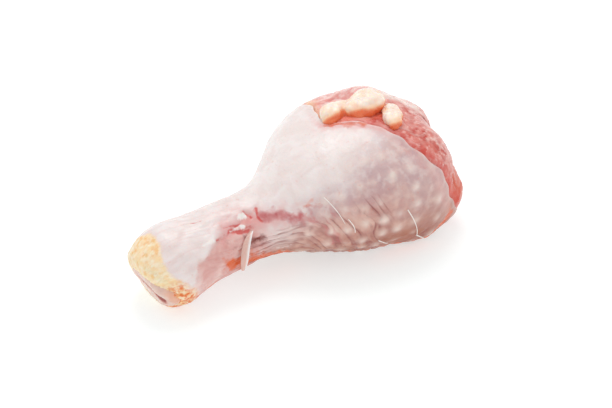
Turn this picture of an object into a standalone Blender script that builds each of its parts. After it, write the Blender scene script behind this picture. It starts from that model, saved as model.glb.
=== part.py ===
"""A raw chicken drumstick lying on its side: skin, meat, shin bone, fat and a loose tendon.

The leg's form is a smooth union of named muscles and bone ends. Every piece is a surface that
rays from inside that form reach, so skin, meat and bone lie one inside the other. The form is
worked out in millimetres: +X runs from hock to knee, +Z is up, and the table is Z = 0.
"""

import math

import bpy
import numpy as np

MM = 0.001

# The leg's bounding box is centred on this point of the table.
LEG_CENTRE_X = -5.77
LEG_CENTRE_Y = 2.91

# Layers
SKIN_THICKNESS = 1.2
LAYER_GAP = 0.4
MEAT_INSET = SKIN_THICKNESS + LAYER_GAP
MEAT_END_X = -53.0

# The middle line that the rays leave from, from the cut hock through the ankle and calf to the knee.
SPINE_SHARES = (-1.0, -0.8, -0.45, 0.55, 1.0)
SPINE_POINTS = (
    (-50.0, 0.0, 9.0),
    (-40.4, 2.5, 13.0),
    (-23.6, 2.5, 13.5),
    (24.4, 1.5, 21.0),
    (46.0, 0.5, 21.0),
)
END_FAN_POWER = 4
LONGEST_RAY = 70.0
BISECTIONS = 32

# Flat places: the cut at the hock, the squared-off knee end and the table that the leg sags onto.
HOCK_CUT_TILT = 21.0
HOCK_CUT_DISTANCE = 57.0
KNEE_END_NORMAL = (0.985, -0.06, 0.14)
KNEE_END_DISTANCE = 55.0
NEAR_SIDE_NORMAL = (0.42, -0.9, 0.0)
NEAR_SIDE_DISTANCE = 43.0

# Skin edges, as shares of the half length; angles run from the far side (+Y) over the top.
KNEE_RIM_MIDDLE = 0.54
KNEE_RIM_SWING = 0.19
KNEE_RIM_LONGEST_AT = 222.0
KNEE_NOTCH_DEPTH = 0.15
KNEE_NOTCH_AT = 85.0
KNEE_NOTCH_WIDTHS = (24.0, 10.0)
RIM_GAP = 0.012
RIM_TO_MEAT_RISE = 0.02

# The window in the skin over the cut hock, looking along X
HOCK_WINDOW_CENTRE = (0.2, 9.0)
HOCK_WINDOW_HALF_SIZES = (9.1, 6.3)
RIM_TO_BONE_RISE = 0.02
CUT_FACE_RECESS = 0.2

# Shin bone
SHAFT_HOCK = (-54.0, 2.5, 12.5)
SHAFT_KNEE = (38.0, 1.5, 21.0)
SHAFT_HOCK_RADIUS = 4.2
SHAFT_KNEE_RADIUS = 4.8
HOCK_KNOB_X = -55.5
CONDYLE_X = 46.5
CONDYLE_Z = 21.5
CONDYLE_YS = (-2.5, 7.5)
CONDYLE_HALF_SIZES = (9.5, 7.4, 8.0)

# Loose tendon that hangs from a hole in the skin, over the ankle's near side
TENDON_ROOT = (-29.3, -9.1, 20.9)
TENDON_BEND = (-33.0, -12.2, 16.8)
TENDON_TIP = (-34.0, -10.8, 10.6)
TENDON_WIDTH = 1.9
TENDON_THICKNESS = 0.5
TENDON_ROWS = 12

# Mesh density
SKIN_ROWS = 33
SKIN_ROW_POWER = 1.5
COVERED_MEAT_ROWS = 20
BARE_MEAT_ROWS = 10
LEG_COLUMNS = 34
CUT_FACE_ROWS = 3
BONE_ROWS = 22
BONE_COLUMNS = 16
FAT_ROWS = 12
FAT_COLUMNS = 12


# --- Forms: signed distances in millimetres, negative inside -----------------------------------


def ellipsoid(points, centre, half_sizes, yaw=0.0):
    """Signed distance to an ellipsoid turned by yaw degrees about Z, exact to first order at its surface."""
    cosine = math.cos(math.radians(yaw))
    sine = math.sin(math.radians(yaw))
    turn = np.array([[cosine, -sine, 0.0], [sine, cosine, 0.0], [0.0, 0.0, 1.0]])
    local = (points - np.array(centre)) @ turn
    sizes = np.array(half_sizes)
    near = np.linalg.norm(local / sizes, axis=-1)
    slope = np.linalg.norm(local / sizes**2, axis=-1)
    return near * (near - 1.0) / np.maximum(slope, 1e-9)


def tapered_rod(points, start, end, start_radius, end_radius):
    """Signed distance to a round rod whose radius runs evenly from one end to the other."""
    start = np.array(start)
    along = np.array(end) - start
    share = np.clip(((points - start) @ along) / (along @ along), 0.0, 1.0)
    radial = np.linalg.norm(points - start - share[..., None] * along, axis=-1)
    return radial - (start_radius + (end_radius - start_radius) * share)


def beyond_plane(points, normal, distance):
    """Signed distance past a plane."""
    return points @ np.array(normal) - distance


def join(a, b, blend):
    """Union of two forms with a fillet about blend wide."""
    overlap = np.maximum(blend - np.abs(a - b), 0.0) / blend
    return np.minimum(a, b) - overlap**2 * blend / 4.0


def keep_both(a, b, blend):
    """Intersection of two forms with a rounded edge."""
    return -join(-a, -b, blend)


def leg_form(points):
    """The whole leg, skin and all."""
    hock = ellipsoid(points, (-56.0, 2.5, 12.5), (13.5, 12.5, 12.0))
    shank = tapered_rod(points, (-53.0, 2.5, 14.0), (-13.0, 2.5, 16.5), 13.0, 11.5)
    near_calf = ellipsoid(points, (19.5, -7.0, 21.0), (38.0, 22.0, 22.0), yaw=-11)
    far_calf = ellipsoid(points, (20.5, 10.5, 23.5), (30.0, 24.5, 19.5), yaw=18)
    knee_flesh = ellipsoid(points, (36.0, -3.0, 16.5), (18.0, 27.5, 20.0))
    thigh_end = ellipsoid(points, (33.0, 12.5, 30.0), (11.5, 14.0, 14.5))
    form = join(hock, shank, blend=6.0)
    form = join(form, near_calf, blend=12.0)
    form = join(form, far_calf, blend=12.0)
    form = join(form, knee_flesh, blend=9.0)
    form = join(form, thigh_end, blend=5.5)
    form = keep_both(form, beyond_plane(points, KNEE_END_NORMAL, KNEE_END_DISTANCE), blend=12.0)
    form = keep_both(form, beyond_plane(points, NEAR_SIDE_NORMAL, NEAR_SIDE_DISTANCE), blend=12.0)
    near_nub = ellipsoid(points, (45.5, -15.0, 12.0), (8.5, 8.0, 8.5))
    top_lobe = ellipsoid(points, (40.0, 5.0, 30.5), (13.0, 12.0, 9.5))
    form = join(form, near_nub, blend=6.0)
    form = join(form, top_lobe, blend=5.0)
    tilt = math.radians(HOCK_CUT_TILT)
    hock_cut = beyond_plane(points, (-math.cos(tilt), 0.0, -math.sin(tilt)), HOCK_CUT_DISTANCE)
    form = keep_both(form, hock_cut, blend=2.5)
    return keep_both(form, -points[..., 2], blend=2.5)


def hock_window(points):
    """Signed distance, about, to the oval rod along X that opens the skin over the cut hock."""
    y, z = HOCK_WINDOW_CENTRE
    half_y, half_z = HOCK_WINDOW_HALF_SIZES
    near = np.hypot((points[..., 1] - y) / half_y, (points[..., 2] - z) / half_z)
    return (near - 1.0) * half_z


def bone_form(points):
    """The shin bone: the hock end as it is under the skin, a shaft, and two condyles at the knee."""
    hock_end = keep_both(leg_form(points) + MEAT_INSET, points[..., 0] - HOCK_KNOB_X, blend=3.0)
    shaft = tapered_rod(points, SHAFT_HOCK, SHAFT_KNEE, SHAFT_HOCK_RADIUS, SHAFT_KNEE_RADIUS)
    form = join(hock_end, shaft, blend=5.0)
    for y in CONDYLE_YS:
        condyle = ellipsoid(points, (CONDYLE_X, y, CONDYLE_Z), CONDYLE_HALF_SIZES)
        form = join(form, condyle, blend=6.0)
    return form


def meat_form(points):
    """The leg without its hock end."""
    return keep_both(leg_form(points), MEAT_END_X - points[..., 0], blend=3.0)


def fat_fold_form(points):
    """The two joined lobes of fat on top of the knee end, over the notch in the skin's edge."""
    small = ellipsoid(points, (14.8, 6.8, 44.4), (5.4, 4.0, 3.4), yaw=24)
    neck = ellipsoid(points, (19.5, 7.6, 44.8), (4.5, 2.8, 2.4), yaw=0)
    large = ellipsoid(points, (27.0, 5.6, 45.0), (8.8, 5.8, 4.6), yaw=4)
    return join(join(small, neck, blend=2.0), large, blend=3.0)


def fat_tab_form(points):
    """The flat piece of fat beside the fold, lying across the skin's edge."""
    return ellipsoid(points, (31.0, -5.2, 43.4), (6.8, 3.4, 2.8), yaw=62)


# --- Surfaces found by rays ---------------------------------------------------------------------


def leg_spine(shares):
    """Points on the leg's middle line; shares run from -1 at the hock to 1 at the knee."""
    along = [np.interp(shares, SPINE_SHARES, values) for values in zip(*SPINE_POINTS)]
    return np.stack(along, axis=-1)


def straight_spine(start, end):
    """A middle line from start to end, for a piece other than the leg."""
    start = np.array(start)
    half = (np.array(end) - start) / 2.0
    return lambda shares: start + half + shares[..., None] * half


def ray_surface(form, spine, shares, angles, inset=0.0):
    """Where rays from the spine come to the inset under the form's surface.

    The rays leave square to X and fan out to -X and +X at the spine's ends.
    """
    lean = np.sign(shares) * np.abs(shares) ** END_FAN_POWER * math.pi / 2.0
    directions = np.stack(
        [
            np.sin(lean),
            np.cos(lean) * np.cos(angles),
            np.cos(lean) * np.sin(angles),
        ],
        axis=-1,
    )
    origins = spine(shares)
    inner = np.zeros(shares.shape)
    outer = np.full(shares.shape, LONGEST_RAY)
    for _ in range(BISECTIONS):
        middle = (inner + outer) / 2.0
        inside = form(origins + directions * middle[..., None]) < -inset
        inner = np.where(inside, middle, inner)
        outer = np.where(inside, outer, middle)
    return origins + directions * inner[..., None]


def ring_angles(columns):
    """Angles round the leg, in radians, without the repeated last one."""
    return np.linspace(0.0, 2.0 * math.pi, columns, endpoint=False)


def knee_rim(angles):
    """Where the skin's edge at the knee lies, for each angle round the leg."""
    degrees = np.degrees(angles)
    rim = KNEE_RIM_MIDDLE + KNEE_RIM_SWING * np.cos(np.radians(degrees - KNEE_RIM_LONGEST_AT))
    away = degrees - KNEE_NOTCH_AT
    width = np.where(away < 0.0, KNEE_NOTCH_WIDTHS[0], KNEE_NOTCH_WIDTHS[1])
    return rim - KNEE_NOTCH_DEPTH * np.exp(-((away / width) ** 2))


def hock_rim(angles):
    """Where the skin's edge at the hock lies: where the leg's surface leaves the window."""
    inner = np.full(angles.shape, -1.0)
    outer = np.full(angles.shape, -0.6)
    for _ in range(BISECTIONS):
        middle = (inner + outer) / 2.0
        inside = hock_window(ray_surface(leg_form, leg_spine, middle, angles)) < 0.0
        inner = np.where(inside, middle, inner)
        outer = np.where(inside, outer, middle)
    return inner


# --- Blender objects ----------------------------------------------------------------------------


def clear_scene():
    for item in list(bpy.data.objects):
        bpy.data.objects.remove(item, do_unlink=True)


def new_collection(name):
    collection = bpy.data.collections.new(name)
    bpy.context.scene.collection.children.link(collection)
    return collection


def make_material(name, colour, roughness):
    material = bpy.data.materials.new(name)
    material.use_nodes = True
    shader = material.node_tree.nodes["Principled BSDF"]
    shader.inputs["Base Color"].default_value = (*colour, 1.0)
    shader.inputs["Roughness"].default_value = roughness
    shader.inputs["Metallic"].default_value = 0.0
    return material


def add_mesh(name, points, faces, look, collection):
    """A mesh object from points in millimetres, moved so that the leg's middle is the origin."""
    centre = np.array([LEG_CENTRE_X, LEG_CENTRE_Y, 0.0])
    mesh = bpy.data.meshes.new(name)
    mesh.from_pydata(((points - centre) * MM).tolist(), [], faces)
    mesh.materials.append(look)
    mesh.shade_smooth()
    obj = bpy.data.objects.new(name, mesh)
    collection.objects.link(obj)
    return obj


def tube_faces(rows, columns):
    """Triangles of an open tube whose rows of points run along +X, facing out."""
    faces = []
    for row in range(rows - 1):
        for column in range(columns):
            low = row * columns + column
            low_beside = row * columns + (column + 1) % columns
            high = low + columns
            high_beside = low_beside + columns
            faces.append((low, low_beside, high_beside))
            faces.append((low, high_beside, high))
    return faces


def closed_faces(rows, columns):
    """The tube's triangles with a fan at each end, round two last points."""
    low_tip = rows * columns
    high_tip = low_tip + 1
    last = (rows - 1) * columns
    faces = tube_faces(rows, columns)
    for column in range(columns):
        beside = (column + 1) % columns
        faces.append((low_tip, beside, column))
        faces.append((high_tip, last + column, last + beside))
    return faces


def add_closed_piece(name, form, spine, shares, columns, look, collection, inset=0.0):
    """A closed piece; shares and inset hold a value for each row, or for each point of each row."""
    angles = np.broadcast_to(ring_angles(columns), (len(shares), columns))
    if shares.ndim == 1:
        shares = shares[:, None]
    shares = np.broadcast_to(shares, angles.shape)
    inset = np.broadcast_to(inset, angles.shape)
    rings = ray_surface(form, spine, shares, angles, inset)
    tips = ray_surface(form, spine, np.array([-1.0, 1.0]), np.zeros(2), inset[[0, -1], 0])
    points = np.concatenate([rings.reshape(-1, 3), tips])
    faces = closed_faces(len(shares), columns)
    return add_mesh(name, points, faces, look, collection)


def row_shares(rows):
    """Rows between the two tips, closer together near them than in the middle."""
    steps = np.arange(1, rows + 1) / (rows + 1)
    return -np.cos(steps * math.pi)


def rows_round_edge(rows_before, edge_before, rows_after, edge_after):
    """Rows from tip to tip with one row on each side of an edge, for each angle round the leg."""
    before = 1.0 - np.cos(np.arange(1, rows_before + 1) / rows_before * math.pi / 2.0)
    after = np.sin(np.arange(rows_after) / rows_after * math.pi / 2.0)
    return np.concatenate(
        [
            -1.0 + before[:, None] * (edge_before + 1.0),
            edge_after + after[:, None] * (1.0 - edge_after),
        ]
    )


def depths_round_edge(rows_before, depth_before, rows_after, depth_after):
    """One depth for the rows before an edge and another for those after it."""
    depths = [np.full(rows_before, depth_before), np.full(rows_after, depth_after)]
    return np.concatenate(depths)[:, None]


def cut_away(obj, cutter):
    modifier = obj.modifiers.new("Room for " + cutter.name, "BOOLEAN")
    modifier.operation = "DIFFERENCE"
    modifier.object = cutter
    modifier.solver = "EXACT"


def add_cutter(piece_name, form, spine, shares, columns, look, collection, inset=0.0):
    """A copy of a piece, grown by the gap between layers, that only cuts."""
    room = inset - LAYER_GAP
    name = piece_name + "_room"
    cutter = add_closed_piece(name, form, spine, shares, columns, look, collection, room)
    cutter.hide_render = True
    cutter.display_type = "WIRE"
    return cutter


def make_skin(look, collection):
    """The skin: an open sleeve between its two edges, thickened inwards."""
    angles = ring_angles(LEG_COLUMNS)
    along = np.linspace(0.0, 1.0, SKIN_ROWS)[:, None] ** SKIN_ROW_POWER
    shares = hock_rim(angles) * (1.0 - along) + knee_rim(angles) * along
    rings = ray_surface(leg_form, leg_spine, shares, np.broadcast_to(angles, shares.shape))
    faces = tube_faces(SKIN_ROWS, LEG_COLUMNS)
    skin = add_mesh("skin", rings.reshape(-1, 3), faces, look, collection)
    shell = skin.modifiers.new("Thickness", "SOLIDIFY")
    shell.thickness = SKIN_THICKNESS * MM
    shell.offset = -1.0
    return skin


def make_meat(look, collection):
    """The meat: under the skin as far as its edge, then out to the leg's full form at the knee."""
    edge = knee_rim(ring_angles(LEG_COLUMNS))
    rows = (COVERED_MEAT_ROWS + 1, BARE_MEAT_ROWS)
    shares = rows_round_edge(rows[0], edge + RIM_GAP, rows[1], edge + RIM_GAP + RIM_TO_MEAT_RISE)
    inset = depths_round_edge(rows[0], MEAT_INSET, rows[1], 0.0)
    return add_closed_piece(
        "meat", meat_form, leg_spine, shares, LEG_COLUMNS, look, collection, inset
    )


def make_bone(look, collection, cutter_collection):
    """The shin bone, out to the leg's full form at its cut face, and the cutter that houses it."""
    edge = hock_rim(ring_angles(BONE_COLUMNS))
    rows = (CUT_FACE_ROWS, BONE_ROWS)
    shares = rows_round_edge(rows[0], edge - RIM_TO_BONE_RISE, rows[1], edge)
    inset = depths_round_edge(rows[0], CUT_FACE_RECESS - MEAT_INSET, rows[1], 0.0)
    shape = (bone_form, leg_spine, shares, BONE_COLUMNS, look)
    add_closed_piece("shin_bone", *shape, collection, inset)
    return add_cutter("shin_bone", *shape, cutter_collection, inset)


def make_tendon(look, collection):
    """The loose tendon: a thin strip along a curve, just off the ankle's skin."""
    share = np.linspace(0.0, 1.0, TENDON_ROWS)[:, None]
    root, bend, tip = (np.array(point) for point in (TENDON_ROOT, TENDON_BEND, TENDON_TIP))
    middle = (1.0 - share) ** 2 * root + 2.0 * share * (1.0 - share) * bend + share**2 * tip
    half_width = TENDON_WIDTH / 2.0 * (0.45 + 0.55 * np.sin(math.pi * np.sqrt(share)))
    across = np.array([1.0, 0.0, 0.0])
    points = np.stack([middle - half_width * across, middle + half_width * across], axis=1)
    faces = [
        (2 * row, 2 * row + 1, 2 * row + 3, 2 * row + 2) for row in range(TENDON_ROWS - 1)
    ]
    tendon = add_mesh("tendon", points.reshape(-1, 3), faces, look, collection)
    strip = tendon.modifiers.new("Thickness", "SOLIDIFY")
    strip.thickness = TENDON_THICKNESS * MM
    strip.offset = 0.0
    return tendon


def main():
    clear_scene()
    drumstick = new_collection("raw_drumstick")
    cutters = new_collection("cutters")

    skin_look = make_material("skin", (0.80, 0.58, 0.54), 0.35)
    meat_look = make_material("meat", (0.62, 0.22, 0.20), 0.35)
    bone_look = make_material("bone", (0.83, 0.72, 0.68), 0.30)
    fat_look = make_material("fat", (0.90, 0.62, 0.42), 0.30)
    tendon_look = make_material("tendon", (0.82, 0.68, 0.62), 0.30)

    skin = make_skin(skin_look, drumstick)
    meat = make_meat(meat_look, drumstick)
    cut_away(meat, make_bone(bone_look, drumstick, cutters))

    fat_rows = row_shares(FAT_ROWS)
    for name, form, start, end in (
        ("fat_fold", fat_fold_form, (14.0, 6.8, 44.5), (29.0, 6.0, 45.0)),
        ("fat_tab", fat_tab_form, (30.2, -5.2, 43.4), (31.8, -5.2, 43.4)),
    ):
        shape = (name, form, straight_spine(start, end), fat_rows, FAT_COLUMNS, fat_look)
        add_closed_piece(*shape, drumstick)
        room = add_cutter(*shape, cutters)
        cut_away(meat, room)
        cut_away(skin, room)

    make_tendon(tendon_look, drumstick)


main()
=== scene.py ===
"""Looks for a raw chicken drumstick that lies on its side on a white surface.

Each piece repeats the form of its solid on a finer grid of rays, and adds the relief and
the colour of skin, meat, fat, cartilage and tendon. Forms are in millimetres, in the leg's own
coordinates: +X runs from hock to knee and +Z is up. LEG_CENTRE turns them into the frame's.
"""

import math

import bpy
import numpy as np
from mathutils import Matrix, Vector
from mathutils.kdtree import KDTree

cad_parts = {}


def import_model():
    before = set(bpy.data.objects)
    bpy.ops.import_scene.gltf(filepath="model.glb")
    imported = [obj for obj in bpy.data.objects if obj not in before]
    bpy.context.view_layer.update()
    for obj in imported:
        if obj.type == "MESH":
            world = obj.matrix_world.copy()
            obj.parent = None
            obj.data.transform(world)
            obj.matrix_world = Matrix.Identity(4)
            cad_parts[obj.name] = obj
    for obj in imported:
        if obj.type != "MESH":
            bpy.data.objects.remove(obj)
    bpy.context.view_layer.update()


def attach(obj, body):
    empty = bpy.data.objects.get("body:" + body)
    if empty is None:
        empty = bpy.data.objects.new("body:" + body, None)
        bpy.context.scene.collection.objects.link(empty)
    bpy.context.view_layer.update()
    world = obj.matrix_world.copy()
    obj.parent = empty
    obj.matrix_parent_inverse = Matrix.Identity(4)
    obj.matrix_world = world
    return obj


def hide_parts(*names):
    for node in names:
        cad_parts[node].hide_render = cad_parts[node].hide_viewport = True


MM = 0.001
LEG_CENTRE = np.array([-5.77, 2.91, 0.0])

SPINE_SHARES = (-1.0, -0.8, -0.45, 0.55, 1.0)
SPINE_POINTS = (
    (-50.0, 0.0, 9.0),
    (-40.4, 2.5, 13.0),
    (-23.6, 2.5, 13.5),
    (24.4, 1.5, 21.0),
    (46.0, 0.5, 21.0),
)
SPINE_HALF_LENGTH = 48.0
LEG_RADIUS = 22.0
FLOOR_GAP = 0.03
HOCK_CUT_TILT = 21.0
HOCK_CUT_DISTANCE = 57.0
HOCK_WINDOW_CENTRE = (-0.4, 9.4)
HOCK_WINDOW_HALF_SIZES = (9.8, 6.9)
SKIN_EDGE_THICKNESS = 0.7

# Where the fold on the ankle's near side runs: share of the spine's half length, and angle.
FOLD_SHARES = (-0.83, -0.80, -0.72, -0.63, -0.51, -0.43, -0.33, -0.24, -0.16)
FOLD_ANGLES = (178.0, 152.0, 137.0, 124.0, 112.0, 123.0, 135.0, 143.0, 147.0)

# Where the bright, fat-backed skin ends and the thin skin over the meat starts.
THIN_SKIN_X = (-20.0, 5.0, 25.0, 45.0)
THIN_SKIN_ANGLES = (142.0, 135.0, 114.0, 102.0)

PORE_SPACING = 6.6
PORE_RADIUS = 1.4
PORE_HEIGHT = 0.5

# Marks on the skin round the ankle's fold: (path, width, strength).
RED_STREAKS = (
    (((-28.0, -2.0, 26.5), (-27.0, -5.0, 25.5)), 0.8, 1.0),
    (((-25.0, -4.0, 26.0), (-24.0, -7.5, 23.5)), 0.8, 1.0),
    (((-38.0, -5.0, 25.0), (-31.5, -5.0, 25.0)), 0.5, 0.8),
    (((-37.5, -6.5, 23.5), (-32.5, -6.5, 23.5), (-27.5, -6.5, 23.5)), 0.8, 0.9),
    (((-41.5, -6.5, 23.5), (-38.5, -6.5, 23.5)), 0.7, 0.8),
    (((-33.5, -7.0, 23.0), (-30.0, -7.5, 22.5)), 0.8, 1.0),
    (((-52.0, -9.5, 19.0), (-47.0, -8.5, 21.0)), 0.7, 0.6),
    (((-49.0, 1.5, 27.0), (-41.0, 0.5, 27.0)), 0.6, 0.55),
)
WHITE_SCRAPS = (
    (((-35.5, -5.5, 24.5), (-31.0, -6.0, 24.0)), 0.8, 1.0),
    (((-31.0, -3.5, 26.0), (-28.5, -3.5, 26.0)), 0.9, 0.9),
    (((-25.5, -8.5, 11.5), (-21.0, -10.0, 12.5), (-16.5, -12.0, 14.0)), 0.4, 0.6),
    (((-47.0, -6.0, 23.0), (-43.5, -6.0, 23.5)), 1.2, 0.7),
)
SHADED_HOLLOWS = (
    # The hollow where the tendon leaves the skin: red-brown tissue, darkened further as painted shade.
    (((-30.0, -8.5, 20.5), (-27.5, -9.0, 18.8), (-26.0, -9.3, 18.3)), 1.6, 0.85),
    (((-26.0, -9.5, 18.5), (-25.0, -9.5, 18.5)), 0.8, 0.6),
    # Painted shadow of the tendon on the skin beside it.
    (((-39.0, -7.5, 22.5), (-36.0, -9.0, 19.5), (-35.0, -9.5, 16.0)), 2.4, 0.22),
)
PURPLE_BANDS = (
    (((-23.5, -6.5, 25.0), (-19.5, -8.5, 25.5), (-16.5, -11.5, 24.5), (-13.5, -14.0, 24.0)), 2.2, 0.8),
    (((-17.0, -12.0, 22.0), (-13.5, -14.0, 24.0), (-9.5, -17.5, 23.5)), 1.1, 0.6),
    (((-11.0, -14.5, 28.0), (-9.0, -17.5, 23.5), (-7.0, -19.5, 19.5), (-3.5, -20.0, 13.5)), 1.0, 0.55),
    (((-7.0, -19.0, 25.0), (-5.0, -20.5, 21.0), (-2.0, -21.5, 14.5)), 1.0, 0.5),
    (((-10.5, -14.5, 28.5), (-6.0, -18.0, 29.0), (-4.0, -20.5, 26.0)), 0.9, 0.35),
)
ORANGE_TISSUE_AND_SHADE = (
    (((-38.0, -9.5, 13.0), (-29.0, -8.5, 10.5), (-21.0, -8.0, 8.0), (-13.0, -8.5, 6.0)), 3.0, 1.0),
    (((-12.0, -13.5, 28.0), (-10.0, -15.0, 28.5)), 1.2, 0.3),
    (((2.0, -17.0, 5.0), (10.0, -20.0, 5.0), (18.0, -22.5, 4.5)), 1.2, 0.5),
    (((17.5, -20.5, 3.5), (24.0, -21.5, 2.5), (33.0, -23.5, 2.5), (36.0, -25.5, 5.5)), 2.0, 1.0),
    (((36.0, -25.5, 5.5), (39.5, -25.0, 7.5), (42.0, -25.5, 10.5)), 2.0, 1.0),
    (((-58.0, -10.0, 8.0), (-55.0, -9.5, 6.0), (-50.0, -8.5, 5.5), (-44.0, -8.0, 7.0)), 0.9, 0.8),
    (((-64.0, 9.5, 9.0), (-63.0, 8.5, 6.0)), 1.7, 1.0),
    # Painted shade: orange-red on the skin's edge just under the fat fold.
    (((9.0, 3.0, 43.5), (14.0, -1.0, 44.5), (21.0, -5.0, 44.5), (25.0, -8.0, 44.0)), 0.9, 0.8),
)
BLUSHES_AND_SHADE = (
    (((-38.0, -5.5, 24.5), (-31.0, -5.0, 25.0), (-25.0, -6.0, 25.0), (-18.0, -10.0, 25.0)), 3.4, 0.75),
    # Painted shade: pink on the skin just under the fat fold.
    (((8.0, 4.0, 43.5), (14.0, -1.5, 44.0), (24.0, -9.0, 43.5)), 2.2, 0.6),
)
CUT_SLIT = ((-65.5, 3.0, 11.3), (-65.0, -2.5, 10.3), (-63.8, -6.5, 7.6))
FAT_SHADOW = ((11.0, 8.0, 44.0), (16.0, 2.5, 44.5), (27.0, -0.5, 44.5), (33.0, -3.0, 43.5))
FAR_RIM_FAT = ((16.0, 24.0, 39.5), (12.0, 17.0, 42.0), (10.0, 10.0, 43.5))
PALE_MEMBRANE = ((37.0, 9.0, 43.0), (42.0, 5.5, 41.5), (46.5, 1.5, 38.5))
DARK_RED_MARKS = ((47.0, -3.0, 36.0), (48.5, -5.5, 33.5))

# Hairs of down on the skin: share, angle, reach along and round the leg, and how much it bends.
DOWN_HAIRS = (
    (-0.08, 141.0, (3.8, 10.0), 2.0),
    (0.03, 164.0, (2.0, 5.0), 3.0),
    (0.42, 174.0, (4.0, 10.5), 3.0),
    (0.50, 200.0, (3.5, 4.5), 3.0),
    (0.25, 192.0, (4.0, 3.0), 3.0),
)

# Where the camera stands and looks: degrees, then millimetres.
CAMERA_AZIMUTH = -35.5
CAMERA_ELEVATION = 35.0
CAMERA_DISTANCE = 590.0
CAMERA_TARGET = (1.5, 4.0, 14.0)
CAMERA_LENS = 100.0


# --- Forms: signed distances in millimetres, negative inside -----------------------------------


def ellipsoid(points, centre, half_sizes, yaw=0.0):
    """Signed distance to an ellipsoid turned by yaw degrees about Z, exact to first order."""
    cosine = math.cos(math.radians(yaw))
    sine = math.sin(math.radians(yaw))
    turn = np.array([[cosine, -sine, 0.0], [sine, cosine, 0.0], [0.0, 0.0, 1.0]])
    local = (points - np.array(centre)) @ turn
    sizes = np.array(half_sizes)
    near = np.linalg.norm(local / sizes, axis=-1)
    slope = np.linalg.norm(local / sizes**2, axis=-1)
    return near * (near - 1.0) / np.maximum(slope, 1e-9)


def tapered_rod(points, start, end, start_radius, end_radius):
    """Signed distance to a round rod whose radius runs evenly from one end to the other."""
    start = np.array(start)
    along = np.array(end) - start
    share = np.clip(((points - start) @ along) / (along @ along), 0.0, 1.0)
    radial = np.linalg.norm(points - start - share[..., None] * along, axis=-1)
    return radial - (start_radius + (end_radius - start_radius) * share)


def beyond_plane(points, normal, distance):
    """Signed distance past a plane."""
    return points @ np.array(normal) - distance


def join(a, b, blend):
    """Union of two forms with a fillet about blend wide."""
    overlap = np.maximum(blend - np.abs(a - b), 0.0) / blend
    return np.minimum(a, b) - overlap**2 * blend / 4.0


def keep_both(a, b, blend):
    """Intersection of two forms with a rounded edge."""
    return -join(-a, -b, blend)


def leg_form(points):
    """The whole leg, skin and all."""
    hock = ellipsoid(points, (-56.0, 2.5, 12.5), (13.5, 12.5, 12.0))
    shank = tapered_rod(points, (-53.0, 2.5, 14.0), (-13.0, 2.5, 16.5), 13.0, 11.5)
    near_calf = ellipsoid(points, (19.5, -7.0, 21.0), (38.0, 22.0, 22.0), yaw=-11)
    far_calf = ellipsoid(points, (20.5, 10.5, 23.5), (30.0, 24.5, 19.5), yaw=18)
    knee_flesh = ellipsoid(points, (36.0, -3.0, 16.5), (18.0, 27.5, 20.0))
    thigh_end = ellipsoid(points, (33.0, 12.5, 30.0), (11.5, 14.0, 14.5))
    form = join(hock, shank, blend=6.0)
    form = join(form, near_calf, blend=12.0)
    form = join(form, far_calf, blend=12.0)
    form = join(form, knee_flesh, blend=9.0)
    form = join(form, thigh_end, blend=5.5)
    form = keep_both(form, beyond_plane(points, (0.985, -0.06, 0.14), 55.0), blend=12.0)
    form = keep_both(form, beyond_plane(points, (0.42, -0.9, 0.0), 43.0), blend=12.0)
    near_nub = ellipsoid(points, (45.5, -15.0, 12.0), (8.5, 8.0, 8.5))
    top_lobe = ellipsoid(points, (40.0, 5.0, 30.5), (13.0, 12.0, 9.5))
    form = join(form, near_nub, blend=6.0)
    form = join(form, top_lobe, blend=5.0)
    tilt = math.radians(HOCK_CUT_TILT)
    hock_cut = beyond_plane(points, (-math.cos(tilt), 0.0, -math.sin(tilt)), HOCK_CUT_DISTANCE)
    form = keep_both(form, hock_cut, blend=2.5)
    return keep_both(form, -points[..., 2], blend=2.5)


def hock_window(points):
    """Signed distance, about, to the oval rod along X that opens the skin over the cut hock."""
    y, z = HOCK_WINDOW_CENTRE
    half_y, half_z = HOCK_WINDOW_HALF_SIZES
    near = np.hypot((points[..., 1] - y) / half_y, (points[..., 2] - z) / half_z)
    return (near - 1.0) * half_z


def knee_bone_form(points):
    """The shin bone's shaft and its two condyles at the knee."""
    form = tapered_rod(points, (-54.0, 2.5, 12.5), (38.0, 1.5, 21.0), 4.2, 4.8)
    for y in (-2.5, 7.5):
        form = join(form, ellipsoid(points, (46.5, y, 21.5), (9.5, 7.4, 8.0)), blend=6.0)
    return form


def fat_fold_form(points):
    """The two joined lobes of fat on top of the knee end."""
    small = ellipsoid(points, (14.8, 6.8, 44.4), (5.4, 4.0, 3.4), yaw=24)
    neck = ellipsoid(points, (19.5, 8.4, 44.8), (4.5, 2.6, 2.2), yaw=0)
    shoulder = ellipsoid(points, (23.2, 3.8, 44.2), (5.4, 4.6, 3.8), yaw=0)
    crown = ellipsoid(points, (28.2, 5.0, 44.6), (6.6, 5.8, 4.3), yaw=30)
    toe = ellipsoid(points, (12.4, 4.8, 43.8), (3.0, 2.6, 2.4), yaw=0)
    small = join(small, toe, blend=1.0)
    large = join(shoulder, crown, blend=1.4)
    return join(join(small, neck, blend=1.2), large, blend=1.6)


def fat_tab_form(points):
    """The flat piece of fat beside the fold, lying across the skin's edge."""
    return ellipsoid(points, (31.0, -5.2, 43.4), (6.8, 3.4, 2.8), yaw=62)


# --- Surfaces found by rays ---------------------------------------------------------------------


def leg_spine(shares):
    """Points on the leg's middle line; shares run from -1 at the hock to 1 at the knee."""
    along = [np.interp(shares, SPINE_SHARES, values) for values in zip(*SPINE_POINTS)]
    return np.stack(along, axis=-1)


def straight_spine(start, end):
    """A middle line from start to end, for a piece other than the leg."""
    start = np.array(start)
    half = (np.array(end) - start) / 2.0
    return lambda shares: start + half + shares[..., None] * half


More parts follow.
